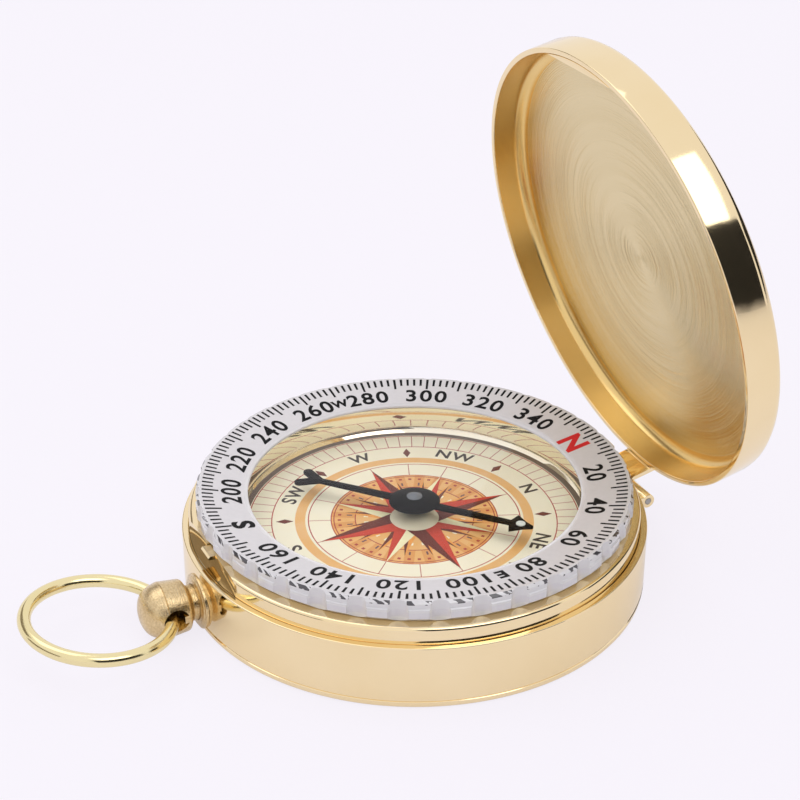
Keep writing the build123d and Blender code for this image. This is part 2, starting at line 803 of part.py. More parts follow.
keep(lift_spring, "lift_spring")

with BuildPart() as lift_spring_rivet:
    for rivet_start, rivet_end, rivet_step_radius in (
        (leaf_inner - rivet_head_thickness, leaf_inner - press_gap, rivet_head_radius),
        (leaf_inner - press_gap, leaf_outer + press_gap, rivet_radius),
        (leaf_outer + press_gap, case_inner - press_gap, rivet_head_radius),
    ):
        with BuildSketch(rivet_plane.offset(rivet_start)):
            Circle(rivet_step_radius)
        extrude(amount=rivet_end - rivet_start)
keep(lift_spring_rivet, "lift_spring_rivet")
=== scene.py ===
import json
import math

import bmesh
import bpy
from mathutils import Matrix, Vector


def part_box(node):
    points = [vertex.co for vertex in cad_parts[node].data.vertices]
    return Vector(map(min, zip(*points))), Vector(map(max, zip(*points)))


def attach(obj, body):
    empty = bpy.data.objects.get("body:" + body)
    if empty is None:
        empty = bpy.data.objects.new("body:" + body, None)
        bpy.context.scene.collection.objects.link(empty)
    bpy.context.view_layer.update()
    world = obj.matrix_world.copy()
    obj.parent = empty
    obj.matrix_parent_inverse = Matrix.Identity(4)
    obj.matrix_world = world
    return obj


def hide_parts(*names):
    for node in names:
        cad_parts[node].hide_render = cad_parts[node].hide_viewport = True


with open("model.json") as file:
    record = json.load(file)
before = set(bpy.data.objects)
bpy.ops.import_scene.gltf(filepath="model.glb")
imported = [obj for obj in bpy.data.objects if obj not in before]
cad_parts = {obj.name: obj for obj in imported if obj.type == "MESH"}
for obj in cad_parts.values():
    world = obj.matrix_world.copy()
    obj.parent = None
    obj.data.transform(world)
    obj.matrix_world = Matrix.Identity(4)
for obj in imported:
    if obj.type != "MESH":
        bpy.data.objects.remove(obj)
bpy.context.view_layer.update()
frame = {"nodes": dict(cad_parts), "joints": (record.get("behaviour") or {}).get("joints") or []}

MM = 0.001
TURN_STEPS = 192
SMALL_TURN_STEPS = 96
STEM_TURN_STEPS = 128
CORNER_SEGMENTS = 4
EASE_SEGMENTS = 2
MERGE_DISTANCE = 0.0005 * MM
SMOOTH_ANGLE = math.radians(32)
EASE_ANGLE = math.radians(30)
FLAT_ANGLE = math.radians(0.5)

# Places and sizes read from the frame
case_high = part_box("case_shell")[1]
neck_low, neck_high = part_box("neck_ring")
bezel_low, bezel_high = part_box("bezel_ring")
window_low, window_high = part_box("capsule_window")
dial_low, dial_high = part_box("dial_plate")
cup_low, cup_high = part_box("capsule_cup")
boss_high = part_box("pivot_boss")[1]
ring_low, ring_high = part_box("dial_ring")
cap_low, cap_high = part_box("needle_cap")
collar_low, collar_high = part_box("pendant_collar")
crown_low, crown_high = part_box("crown_knob")
joints = {joint["name"]: joint for joint in frame["joints"]}

CASE_RADIUS = case_high.x
CASE_HEIGHT = case_high.z
NECK_RADIUS = neck_high.y
LID_HINGE = Vector(joints["lid_hinge"]["pos_m"])
LID_ANGLE = math.radians(-joints["lid_hinge"]["range_deg"][0])
BOW_PIVOT = Vector(joints["bow_swing"]["pos_m"])

# Small sizes of the brass case
CASE_WALL = 0.75 * MM
CASE_FLOOR = 0.7 * MM
FOOT_ROUNDING = 0.55 * MM
LINE_HEIGHT = 0.78 * MM
LINE_WIDTH = 0.24 * MM
LINE_DEPTH = 0.12 * MM
EDGE_ROUNDING = 0.12 * MM
NECK_TOP = 9.0 * MM
NECK_PLATE = 0.5 * MM
NECK_SKIRT = 1.3 * MM
NECK_ROUNDING = 0.4 * MM
POST_INNER = 20.4 * MM
POST_OUTER = 20.9 * MM
CATCH_FLAT = 23.3 * MM
CATCH_SLOT = 2.4 * MM
CATCH_NOTCH = 21.1 * MM
NOSE_SLOT_LOW = 8.3 * MM

# Lid, in its closed place before it is turned open
LID_SHUT_GAP = 0.8 * MM
LID_RIM = CASE_HEIGHT + LID_SHUT_GAP
LID_DEPTH = 4.3 * MM
LID_WALL = 0.6 * MM
LID_CORNER = 1.0 * MM
LID_INNER_CORNER = 1.3 * MM
LID_DOME = 0.3 * MM
WALL_FACING = 0.2
HINGE_EASING = 0.06 * MM

# Capsule
CUP_WALL = 0.8 * MM
WINDOW_RADIUS = 20.2 * MM
WINDOW_WALL = 0.7 * MM
WINDOW_THICKNESS = 0.8 * MM
WINDOW_SHOULDER = 1.1 * MM
WINDOW_BEND = 1.16
FLANGE_TOP = 8.2 * MM
RING_WALL = 0.3 * MM
RING_FOOT = 18.74 * MM
RING_FOOT_HEIGHT = 0.5 * MM

# Bezel
BEZEL_LOBES = 36
STEPS_PER_LOBE = 8
SCALLOP_FACETS = 48
SCALLOP_RADIUS = 1.4 * MM
SCALLOP_DEPTH = 0.5 * MM
BEZEL_BORE = 20.95 * MM
BEZEL_CEILING = 10.35 * MM
BEZEL_RADIUS = 23.4 * MM
BAND_OUTER = 22.8 * MM
BAND_INNER = 17.8 * MM
BAND_DROP = 0.85 * MM
BEZEL_BEVEL = 0.25 * MM
BEZEL_FOOT = 0.5 * MM
BEZEL_STEP = 0.12 * MM
BEZEL_STEP_DROP = 0.95 * MM
FILM_INNER = 18.3 * MM
BAND_ROUNDING = 0.15 * MM
LOBE_EASING = 0.06 * MM

# Rows of painted highlights, painted sheen and painted dark reflections on the clear bezel, as shares of
# its height and of a lobe's width
LOBE_HALF_SHARE = 0.3
FOOT_HIGHLIGHT_SHARE = 0.22
PALE_SHEEN_SHARE = 0.56
STEP_HIGHLIGHT_SHARES = (0.5, 0.57)
TOP_GLINT_SHARES = (0.84, 0.995)
DARK_REFLECTION_SHARE = 0.5
LIGHT_GLINT_SHARE = 0.56
GLINT_RADIUS_MM = 22.75

# Printed scale on the bezel
TICK_STEP = 2
LONG_TICK_EVERY = 10
TICK_OUTER = 22.7 * MM
TICK_INNER = 21.5 * MM
LONG_TICK_INNER = 20.9 * MM
TICK_WIDTH = 0.3 * MM
TICK_DRAFT_SHARES = (0.9, 0.98, 1)
TICK_TAPER_SHARES = (0.85, 1, 1)
PRINT_RISE = 0.02 * MM
NUMBER_STEP = 20
NUMBER_RADIUS = 19.5 * MM
NUMBER_SIZE = 2.95 * MM
NUMBER_WEIGHT = 0.06 * MM
DIGIT_PITCH = 1.71 * MM
LETTER_SPACING = 1.16
LETTER_RESOLUTION = 4
EAST_SIZE = 2.2 * MM
SOUTH_SIZE = 3.2 * MM
WEST_SIZE = 1.75 * MM
NORTH_SIZE = 3.8 * MM
LETTER_WEIGHT_SHARE = 0.04
CARDINAL_STEP = 90
DARK_CARDINALS = ((90, "E", EAST_SIZE), (180, "S", SOUTH_SIZE), (270, "W", WEST_SIZE))

# Printed dial, rose and letters
DIAL_LETTERS = ("N", "NE", "E", "SE", "S", "SW", "W", "NW")
DIAL_LETTER_STEP = 45
DIAL_LETTER_RADIUS = 14.0 * MM
DIAL_LETTER_SIZE = 2.3 * MM
DIAL_LETTER_WEIGHT = 0.05 * MM
LOZENGE_LENGTH = 1.9 * MM
LOZENGE_WIDTH = 0.85 * MM
MINOR_REACH = 7.6 * MM
MINOR_WAIST = 3.6 * MM
HALF_REACH = 9.2 * MM
HALF_WAIST = 3.2 * MM
MAIN_REACH = 11.0 * MM
MAIN_WAIST = 2.6 * MM

# Boss and needle
BOSS_BEVEL = 0.35 * MM
BOSS_TOP_SHARE = 0.5
BOSS_EDGE = 0.1 * MM
CAP_RIM = 8.35 * MM
CAP_FOOT = 0.9 * MM
CAP_BORE = 0.4 * MM
CAP_CROWN_SHARE = 0.45
CAP_CROWN_DROP = 0.12 * MM
CAP_CROWN_ROUNDING = 0.5 * MM
CAP_SIDE_SHARE = 0.8
CAP_SIDE_RISE = 0.22 * MM
CAP_SIDE_ROUNDING = 0.3 * MM
CAP_RIM_ROUNDING = 0.08 * MM
CAP_FOOT_ROUNDING = 0.1 * MM
NEEDLE_EASING = 0.05 * MM

# Crown and bow
CROWN_RADIUS = 3.0 * MM
CROWN_NECK = 1.9 * MM
CROWN_SHOULDER = 2.75 * MM
CROWN_SHOULDER_LENGTH = 0.45 * MM
CROWN_BAND = 2.9 * MM
EDGE_LINE = 0.07 * MM
CROWN_START = 26.15 * MM
STEM_RADIUS = 1.2 * MM
NECK_STEM_END = 24.05 * MM
BOW_RADIUS = 7.45 * MM
BOW_WIRE = 0.7 * MM
BOW_TILT = math.radians(7)
BOW_HOLE = 0.85 * MM
BOW_TONGUE = 0.42 * MM
CROWN_FOOT_ROUNDING = 0.15 * MM
CROWN_SHOULDER_ROUNDING = 0.2 * MM
CROWN_SIDE_SHARE = 0.86
CROWN_SIDE_DROP = 0.95 * MM
CROWN_SIDE_ROUNDING = 0.7 * MM
CROWN_END_SHARE = 0.5
CROWN_END_DROP = 0.22 * MM
CROWN_END_ROUNDING = 0.6 * MM
HOLE_FACETS = 64
BELL_STEPS = 8
BELL_TURN_STEPS = 64
BOW_FACETS = 28
BOW_TURN_STEPS = 160
COLLAR_STEP = 0.16 * MM
COLLAR_PLAY = 0.05 * MM
COLLAR_RIM_DROP = 0.25 * MM
COLLAR_ROUNDING = 0.08 * MM
COLLAR_GROOVE_ROUNDING = 0.04 * MM
COLLAR_DRAFT = 0.02 * MM

# Camera fitted to the circles of the case, lid and bow in the photograph
CAMERA_TARGET = Vector((2.386, 8.544, 16.217)) * MM
CAMERA_AZIMUTH = math.radians(-25.72)
CAMERA_ELEVATION = math.radians(28.30)
CAMERA_DISTANCE = 200 * MM
FOCAL_LENGTH = 81.86
SENSOR_WIDTH = 36


class Signal:
    """A socket inside a finish. Sums on it add Math nodes."""

    def __init__(self, finish, socket):
        self.finish = finish
        self.socket = socket

    def maths(self, operation, *terms):
        return self.finish.node("ShaderNodeMath", {"operation": operation}, *terms)

    def __add__(self, other):
        return self.maths("ADD", self, other)

    def __radd__(self, other):
        return self.maths("ADD", other, self)

    def __sub__(self, other):
        return self.maths("SUBTRACT", self, other)

    def __rsub__(self, other):
        return self.maths("SUBTRACT", other, self)

    def __mul__(self, other):
        return self.maths("MULTIPLY", self, other)

    def __rmul__(self, other):
        return self.maths("MULTIPLY", other, self)

    def __truediv__(self, other):
        return self.maths("DIVIDE", self, other)

    def __gt__(self, other):
        return self.maths("GREATER_THAN", self, other)

    def __lt__(self, other):
        return self.maths("LESS_THAN", self, other)


class Finish:
    """A material whose nodes are added one call at a time."""

    def __init__(self, name, **constants):
        self.material = bpy.data.materials.new(name)
        self.material.use_nodes = True
        self.tree = self.material.node_tree
        self.shader = self.tree.nodes["Principled BSDF"]
        for socket, value in constants.items():
            self.shader.inputs[socket.replace("_", " ").title().replace("Ior", "IOR")].default_value = value

    def node(self, kind, settings=None, *values, output=0, **named):
        node = self.tree.nodes.new(kind)
        for key, value in (settings or {}).items():
            setattr(node, key, value)
        for index, value in enumerate(values):
            self.feed(node.inputs[index], value)
        for key, value in named.items():
            self.feed(node.inputs[key], value)
        return Signal(self, node.outputs[output])

    def feed(self, socket, value):
        if isinstance(value, Signal):
            self.tree.links.new(value.socket, socket)
        else:
            socket.default_value = value

    def set(self, socket, value):
        self.feed(self.shader.inputs[socket], value)

    def coordinates(self, origin=(0, 0, 0), tilt=(0, 0, 0)):
        place = self.node("ShaderNodeTexCoord", output=3)
        settings = {"vector_type": "TEXTURE"}
        return self.node("ShaderNodeMapping", settings, place, Location=origin, Rotation=tilt)

    def polar(self, place):
        """Radius in millimetres, angle in radians and height in millimetres."""
        split = self.node("ShaderNodeSeparateXYZ", None, place).socket.node
        x, y, z = (Signal(self, out) for out in split.outputs)
        radius = (x * x + y * y).maths("SQRT", x * x + y * y) / MM
        angle = x.maths("ARCTAN2", y, x)
        return radius, angle, z / MM

    def noise(self, place, scale, detail=3.0, roughness=0.5):
        return self.node("ShaderNodeTexNoise", None, place, Scale=scale, Detail=detail, Roughness=roughness)

    def mix(self, factor, first, second):
        node = self.node("ShaderNodeMix", {"data_type": "RGBA"}, output=2).socket.node
        self.feed(node.inputs[0], factor)
        self.feed(node.inputs[6], first)
        self.feed(node.inputs[7], second)
        return Signal(self, node.outputs[2])

    def pass_lamp_light(self):
        """Lets light through to what lies behind, with no dark shadow."""
        shadow = self.node("ShaderNodeLightPath", output="Is Shadow Ray")
        clear = self.node("ShaderNodeBsdfTransparent")
        output = self.tree.nodes["Material Output"]
        mixed = self.node("ShaderNodeMixShader", None, shadow, Signal(self, self.shader.outputs[0]), clear)
        self.feed(output.inputs["Surface"], mixed)

    def bump(self, height, strength, distance):
        normal = self.node("ShaderNodeBump", None, Strength=strength, Distance=distance, Height=height)
        self.set("Normal", normal)


def rgb(red, green, blue):
    """An sRGB colour, 0 to 255, as the linear colour that a shader takes."""
    linear = []
    for channel in (red, green, blue):
        share = channel / 255
        linear.append(share / 12.92 if share <= 0.04045 else ((share + 0.055) / 1.055) ** 2.4)
    return (*linear, 1.0)


# Finishes
def polished_brass(name, light, deep, roughness=0.05):
    finish = Finish(name, metallic=1.0)
    place = finish.coordinates()
    cloud = finish.noise(place, 90.0, 4.0)
    finish.set("Base Color", finish.mix(cloud, light, deep))
    smear = finish.noise(place, 900.0, 5.0, 0.65)
    finish.set("Roughness", roughness + smear * 0.06)
    finish.bump(finish.noise(place, 2600.0, 2.0), 0.04, 0.02 * MM)
    return finish.material


def spun_brass(name, light, deep, origin, tilt):
    """Brass spun on a lathe: fine rings about the piece's own axis."""
    finish = Finish(name, metallic=1.0)
    place = finish.coordinates(origin, tilt)
    radius = finish.polar(place)[0]
    rings = finish.node("ShaderNodeCombineXYZ", None, radius, 0.0, 0.0)
    fine = finish.noise(rings, 9.0, 2.0, 0.5)
    broad = finish.noise(rings, 0.35, 2.0, 0.5)
    finish.set("Base Color", finish.mix(broad * 0.6 + fine * 0.4, light, deep))
    finish.set("Roughness", 0.17 + fine * 0.1)
    finish.bump(fine, 1.0, 0.05 * MM)
    return finish.material


def turned_brass(name, light, deep):
    """Brass turned about the stem's X axis, with fine grooves and a frosted grain."""
    finish = Finish(name, metallic=1.0)
    place = finish.coordinates()
    split = finish.node("ShaderNodeSeparateXYZ", None, place).socket.node
    along = Signal(finish, split.outputs[0]) / MM
    rings = finish.node("ShaderNodeCombineXYZ", None, along, 0.0, 0.0)
    groove = finish.noise(rings, 5.0, 3.0, 0.6)
    grain = finish.noise(place, 7000.0, 3.0, 0.6)
    speck = finish.noise(place, 4200.0, 2.0, 0.5)
    finish.set("Base Color", finish.mix(speck * 0.6 + groove * 0.4, light, deep))
    finish.set("Roughness", 0.08 + grain * 0.16)
    finish.bump(groove * 0.5 + grain * 0.7, 0.7, 0.07 * MM)
    return finish.material


def plain_finish(name, colour, deep, roughness, metallic=0.0, scale=800.0, shine=0.5):
    finish = Finish(name, metallic=metallic, specular_ior_level=shine)
    place = finish.coordinates()
    speckle = finish.noise(place, scale, 4.0)
    finish.set("Base Color", finish.mix(speckle, colour, deep))
    finish.set("Roughness", roughness + speckle * 0.1)
    finish.bump(speckle, 0.1, 0.01 * MM)
    return finish.material


def clear_moulding(name, colour, roughness, bend):
    finish = Finish(name, transmission_weight=1.0, ior=bend)
    finish.set("Base Color", colour)
    place = finish.coordinates()
    finish.set("Roughness", roughness + finish.noise(place, 500.0, 2.0) * 0.03)
    finish.pass_lamp_light()
    return finish.material


def crystal_moulding(name, low, high):
    """Clear lobed moulding with rows of painted highlights, painted sheen and painted dark reflections on
    its facets, low to high in millimetres.
    """
    finish = Finish(name, transmission_weight=0.28, ior=1.47, roughness=0.03)
    radius, angle, height = finish.polar(finish.coordinates())
    rise = (height - low) / (high - low)
    sector = angle * (BEZEL_LOBES / (2 * math.pi))
    offset = sector.maths("FRACT", sector) - 0.5
    on_lobe = offset.maths("ABSOLUTE", offset) < LOBE_HALF_SHARE
    across = finish.node("ShaderNodeCombineXYZ", None, angle * radius, height * 0.7, radius * 0.2)
    streak = finish.noise(across, 1.3, 2.0, 0.5)
    # White is the colour of the painted highlights
    white = rgb(255, 254, 255)
    lilac = finish.mix(streak, rgb(254, 252, 255), rgb(242, 238, 246))
    pale = finish.mix(streak, white, rgb(250, 248, 252))

    def row(first, last):
        return (rise > first) * (rise < last)

    # Upper part painted paler than the lilac lower part: painted sheen
    colour = finish.mix(rise > PALE_SHEEN_SHARE, lilac, pale)
    # White foot row: painted highlight on the lower edge
    colour = finish.mix(rise < FOOT_HIGHLIGHT_SHARE, colour, white)
    # White step row on each lobe: painted highlight
    colour = finish.mix(row(*STEP_HIGHLIGHT_SHARES) * on_lobe, colour, white)
    # Glints near the top of each lobe: painted highlights and painted dark reflections
    glint = row(*TOP_GLINT_SHARES) * on_lobe * (radius > GLINT_RADIUS_MM)
    colour = finish.mix(glint * (streak < DARK_REFLECTION_SHARE), colour, rgb(84, 82, 86))
    colour = finish.mix(glint * (streak > LIGHT_GLINT_SHARE), colour, white)
    finish.set("Base Color", colour)
    finish.set("Coat Weight", 0.4 + streak * 0.6)
    finish.bump(streak, 0.25, 0.1 * MM)
    finish.pass_lamp_light()
    return finish.material


def frosted_band(name):
    """Silvery frosted print under the numbers, a little see-through."""
    finish = Finish(name, metallic=0.2)
    place = finish.coordinates()
    grain = finish.noise(place, 1500.0, 4.0, 0.6)
    finish.set("Base Color", finish.mix(grain, rgb(252, 250, 251), rgb(236, 233, 235)))
    finish.set("Roughness", 0.28 + grain * 0.14)
    finish.set("Alpha", 0.66 + grain * 0.2)
    finish.bump(grain, 0.15, 0.02 * MM)
    return finish.material


def ink(name, colour):
    finish = Finish(name, specular_ior_level=0.1)
    place = finish.coordinates()
    wear = finish.noise(place, 2200.0, 3.0)
    worn = tuple(min(1.0, channel * 1.25 + 0.004) for channel in colour[:3]) + (1.0,)
    finish.set("Base Color", finish.mix(wear, colour, worn))
    finish.set("Roughness", 0.45 + wear * 0.1)
    return finish.material


# Printed dial, in millimetres from its centre
RIM_RING = (18.05, 18.74)
TRACK = (15.4, 17.9)
TRACK_CELLS = 72
RAYS = 16
LINE_HALF = 0.06
RAY_HALF = 0.05
RIM_SHARE = 0.92
ORANGE_RING = (11.8, 12.9)
RED_CIRCLE = 11.45
SUN_DISC = 9.0
SUN_RINGS = (8.7, 6.4)
SUN_ARCS = 24
SUN_ARC_HALF = 0.55
SUN_ARC_SHARE = 0.55
SUN_DOTS = (
    (7.95, 8.3, 48, 0.17, rgb(186, 66, 52)),
    (6.75, 7.35, 24, 0.1, rgb(112, 74, 84)),
    (5.0, 5.5, 24, 0.25, rgb(255, 246, 220)),
)
HUB_RING = (2.4, 3.5)


def printed_dial(name):
    finish = Finish(name)
    place = finish.coordinates()
    radius, angle = finish.polar(place)[:2]
    paper = finish.noise(place, 260.0, 5.0, 0.6)
    colour = finish.mix(paper, rgb(255, 251, 230), rgb(253, 243, 212))

    def between(low, high):
        return (radius > low) * (radius < high)

    def circle(at, half=LINE_HALF):
        return between(at - half, at + half)

    def spokes(count, half):
        sector = angle * (count / (2 * math.pi))
        offset = sector.maths("FRACT", sector + 0.5) - 0.5
        width = offset.maths("ABSOLUTE", offset) * radius * (2 * math.pi / count)
        return width < half

    brown = rgb(88, 62, 56)
    red = rgb(186, 66, 52)
    rose = rgb(196, 120, 104)
    orange = rgb(240, 178, 92)
    deep_orange = rgb(222, 140, 66)
    plum = rgb(112, 74, 84)
    fade = finish.noise(place, 420.0, 3.0)
    colour = finish.mix(between(0, SUN_DISC) * (0.75 + fade * 0.25), colour, orange)
    arcs = between(SUN_RINGS[1], SUN_DISC) * spokes(SUN_ARCS, SUN_ARC_HALF) * SUN_ARC_SHARE
    colour = finish.mix(arcs, colour, deep_orange)
    for at in SUN_RINGS:
        colour = finish.mix(circle(at), colour, red)
    for low, high, count, half, tone in SUN_DOTS:
        colour = finish.mix(between(low, high) * spokes(count, half), colour, tone)
    colour = finish.mix(circle(SUN_DISC), colour, red)
    colour = finish.mix(between(SUN_DISC, RED_CIRCLE) * spokes(RAYS, RAY_HALF), colour, rose)
    colour = finish.mix(circle(RED_CIRCLE), colour, red)
    colour = finish.mix(between(*ORANGE_RING) * (0.7 + fade * 0.3), colour, orange)
    colour = finish.mix(between(*TRACK) * spokes(TRACK_CELLS, RAY_HALF), colour, rose)
    for at in TRACK:
        colour = finish.mix(circle(at), colour, red)
    colour = finish.mix(between(*RIM_RING) * RIM_SHARE, colour, brown)
    colour = finish.mix(between(*HUB_RING), colour, plum)
    finish.set("Base Color", colour)
    finish.set("Roughness", 0.42 + paper * 0.12)
    finish.bump(paper, 0.08, 0.01 * MM)
    return finish.material


# Modelling helpers
def activate(piece):
    bpy.ops.object.select_all(action="DESELECT")
    piece.select_set(True)
    bpy.context.view_layer.objects.active = piece


def edit(piece):
    activate(piece)
    bpy.ops.object.mode_set(mode="EDIT")


def leave_edit():
    bpy.ops.object.mode_set(mode="OBJECT")


def pick_vertices(piece, wanted):
    """Selects the vertices that a test on their place passes, in edit mode."""
    mesh = bmesh.from_edit_mesh(piece.data)
    for vertex in mesh.verts:
        vertex.select = wanted(vertex.co)
    mesh.select_flush_mode()
    bmesh.update_edit_mesh(piece.data)


def smooth(piece, angle=SMOOTH_ANGLE):
    activate(piece)
    bpy.ops.object.shade_smooth_by_angle(angle=angle)


def tidy_normals():
    bpy.ops.mesh.select_all(action="SELECT")
    bpy.ops.mesh.remove_doubles(threshold=MERGE_DISTANCE)
    bpy.ops.mesh.normals_make_consistent(inside=False)


def apply_modifier(piece, kind, **settings):
    activate(piece)
    modifier = piece.modifiers.new(kind.title(), kind)
    for key, value in settings.items():
        setattr(modifier, key, value)
    bpy.ops.object.modifier_apply(modifier=modifier.name)


def ease(piece, width):
    limits = {"limit_method": "ANGLE", "angle_limit": EASE_ANGLE}
    apply_modifier(piece, "BEVEL", width=width, segments=EASE_SEGMENTS, **limits)


def turn(name, profile, steps=TURN_STEPS):
    """Spins a profile of (radius, height, rounding) corners about Z, as on a lathe."""
    bpy.ops.object.select_all(action="DESELECT")
    bpy.ops.mesh.primitive_plane_add(size=MM)
    piece = bpy.context.object
    piece.name = piece.data.name = name
    edit(piece)
    bpy.ops.mesh.select_all(action="SELECT")
    bpy.ops.mesh.merge(type="CENTER")
    bpy.ops.transform.translate(value=(profile[0][0], 0, profile[0][1]))
    for before, after in zip(profile, profile[1:]):
        step = (after[0] - before[0], 0, after[1] - before[1])
        bpy.ops.mesh.extrude_region_move(TRANSFORM_OT_translate={"value": step})
    bpy.ops.mesh.select_all(action="SELECT")
    bpy.ops.mesh.remove_doubles(threshold=MERGE_DISTANCE)
    for radius, height, rounding in profile:
        if rounding:
            corner = Vector((radius, 0, height))
            pick_vertices(piece, lambda place: (place - corner).length < MERGE_DISTANCE)
            bpy.ops.mesh.bevel(offset=rounding, segments=CORNER_SEGMENTS, affect="VERTICES")
    bpy.ops.mesh.select_all(action="SELECT")
    bpy.ops.mesh.spin(steps=steps, angle=2 * math.pi, center=(0, 0, 0), axis=(0, 0, 1))
    tidy_normals()
    leave_edit()
    smooth(piece)
    return piece


def settle(piece, matrix):
    """Moves a finished mesh, leaving its object at the origin."""
    piece.data.transform(matrix)
    piece.data.update()
    return piece


def cut(piece, cutter):
    apply_modifier(piece, "BOOLEAN", operation="DIFFERENCE", solver="EXACT", object=cutter)
    bpy.data.objects.remove(cutter)
    smooth(piece)


def block(low, high):
    """A box between two corners, for cutting."""
    bpy.ops.object.select_all(action="DESELECT")
    middle = (Vector(low) + Vector(high)) / 2
    bpy.ops.mesh.primitive_cube_add(size=1, location=middle)
    cutter = bpy.context.object
    cutter.scale = Vector(high) - Vector(low)
    bpy.ops.object.transform_apply(location=True, rotation=True, scale=True)
    return cutter


def join(pieces, name):
    bpy.ops.object.select_all(action="DESELECT")
    for piece in pieces:
        piece.select_set(True)
    bpy.context.view_layer.objects.active = pieces[0]
    if len(pieces) > 1:
        bpy.ops.object.join()
    joined = bpy.context.object
    joined.name = joined.data.name = name
    return joined


def copied(piece, matrix):
    """A copy of a piece with its own mesh, moved."""
    twin = piece.copy()
    twin.data = piece.data.copy()
    twin.data.transform(matrix)
    bpy.context.scene.collection.objects.link(twin)
    return twin


def lettering(text, size, matrix, weight):
    """Text made into a thin solid and put in its place."""
    bpy.ops.object.select_all(action="DESELECT")
    bpy.ops.object.text_add()
    words = bpy.context.object
    words.data.body = text
    words.data.size = size
    words.data.align_x = "CENTER"
    words.data.align_y = "CENTER"
    words.data.offset = weight
    words.data.space_character = LETTER_SPACING
    words.data.extrude = PRINT_RISE / 2
    words.data.resolution_u = LETTER_RESOLUTION
    bpy.ops.object.convert(target="MESH")
    words = bpy.context.object
    edit(words)
    tidy_normals()
    leave_edit()
    return settle(words, matrix)


def dress(piece, finish, body, slot, *nodes):
    """Gives a piece its finish and its body and hides the nodes that it stands for; slot is not used."""
    piece.data.materials.clear()
    piece.data.materials.append(finish)
    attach(piece, body)
    if nodes:
        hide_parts(*nodes)
    return piece


def eased_node(node, name, width):
    """A copy of a CAD node with its edges eased."""
    piece = bpy.data.objects.new(name, frame["nodes"][node].data.copy())
    bpy.context.scene.collection.objects.link(piece)
    edit(piece)
    bpy.ops.mesh.select_all(action="SELECT")
    bpy.ops.mesh.remove_doubles(threshold=MERGE_DISTANCE)
    bpy.ops.mesh.customdata_custom_splitnormals_clear()
    bpy.ops.mesh.dissolve_limited(angle_limit=FLAT_ANGLE)
    leave_edit()
    ease(piece, width)
    smooth(piece)
    return piece


# The lid's turn from shut to its open rest
LID_TURN = (
    Matrix.Translation(LID_HINGE)
    @ Matrix.Rotation(LID_ANGLE, 4, "Y")
    @ Matrix.Translation(-LID_HINGE)
)
LID_ORIGIN = LID_TURN @ Vector((0, 0, 0))

# Finishes of the whole object
BRASS_LIGHT = rgb(252, 233, 193)
BRASS_DEEP = rgb(243, 219, 169)
case_brass = polished_brass("case_brass", BRASS_LIGHT, BRASS_DEEP)
lid_brass = spun_brass("lid_brass", rgb(238, 222, 180), rgb(214, 193, 144), LID_ORIGIN, (0, LID_ANGLE, 0))
# Deeper, darker brass for the lid's inner wall: painted shade in the lid's hollow
shaded_lid_wall_brass = polished_brass("shaded_lid_wall_brass", rgb(242, 211, 144), rgb(232, 196, 124), 0.2)
crown_brass = turned_brass("crown_brass", rgb(255, 236, 190), rgb(176, 138, 86))
bow_brass = polished_brass("bow_brass", rgb(248, 236, 190), rgb(238, 220, 160), 0.12)
cup_brass = polished_brass("cup_brass", rgb(253, 242, 208), rgb(247, 231, 188), 0.1)
# Near-white brass for the dial ring's wall: painted light where the bezel and lid shade it
lit_wall_brass = polished_brass("lit_wall_brass", rgb(255, 250, 234), rgb(254, 243, 216), 0.02)
boss_cream = plain_finish("boss_cream", rgb(246, 241, 214), rgb(236, 228, 196), 0.3)
steel = plain_finish("spring_steel", rgb(190, 188, 184), rgb(150, 148, 146), 0.25, 1.0)
rubber = plain_finish("gasket_rubber", rgb(40, 40, 40), rgb(28, 28, 28), 0.7)
needle_black = plain_finish("needle_black", rgb(18, 18, 21), rgb(10, 10, 13), 0.45, shine=0.06)
jewel_grey = plain_finish("jewel_grey", rgb(120, 126, 134), rgb(90, 96, 104), 0.08)
lume = plain_finish("lume_paint", rgb(232, 238, 232), rgb(214, 222, 214), 0.5)
window_clear = clear_moulding("window_clear", (1, 1, 0.99, 1), 0.0, WINDOW_BEND)
bezel_clear = crystal_moulding("bezel_clear", bezel_low.z / MM, bezel_high.z / MM)
band_grey = frosted_band("band_grey")
scale_ink = ink("scale_ink", rgb(14, 14, 15))
north_ink = ink("north_ink", rgb(205, 44, 44))
dial_print = printed_dial("dial_print")
dial_ink = ink("dial_ink", rgb(70, 62, 56))
rose_light = ink("rose_light", rgb(250, 232, 190))
rose_dark = ink("rose_dark", rgb(112, 60, 52))
rose_red = ink("rose_red", rgb(198, 74, 58))
rose_orange = ink("rose_orange", rgb(232, 160, 84))


# Case body
case = turn(
    "case_body",
    [
        (0, 0, 0),
        (CASE_RADIUS, 0, FOOT_ROUNDING),
        (CASE_RADIUS, LINE_HEIGHT, 0),
        (CASE_RADIUS - LINE_DEPTH, LINE_HEIGHT + LINE_WIDTH / 3, 0),
        (CASE_RADIUS - LINE_DEPTH, LINE_HEIGHT + LINE_WIDTH * 2 / 3, 0),
        (CASE_RADIUS, LINE_HEIGHT + LINE_WIDTH, 0),
        (CASE_RADIUS, CASE_HEIGHT, EDGE_ROUNDING),
        (CASE_RADIUS - CASE_WALL, CASE_HEIGHT, EDGE_ROUNDING),
        (CASE_RADIUS - CASE_WALL, CASE_FLOOR, 0),
        (0, CASE_FLOOR, 0),
    ],
)
dress(case, case_brass, "case", "polished_brass", "case_shell")

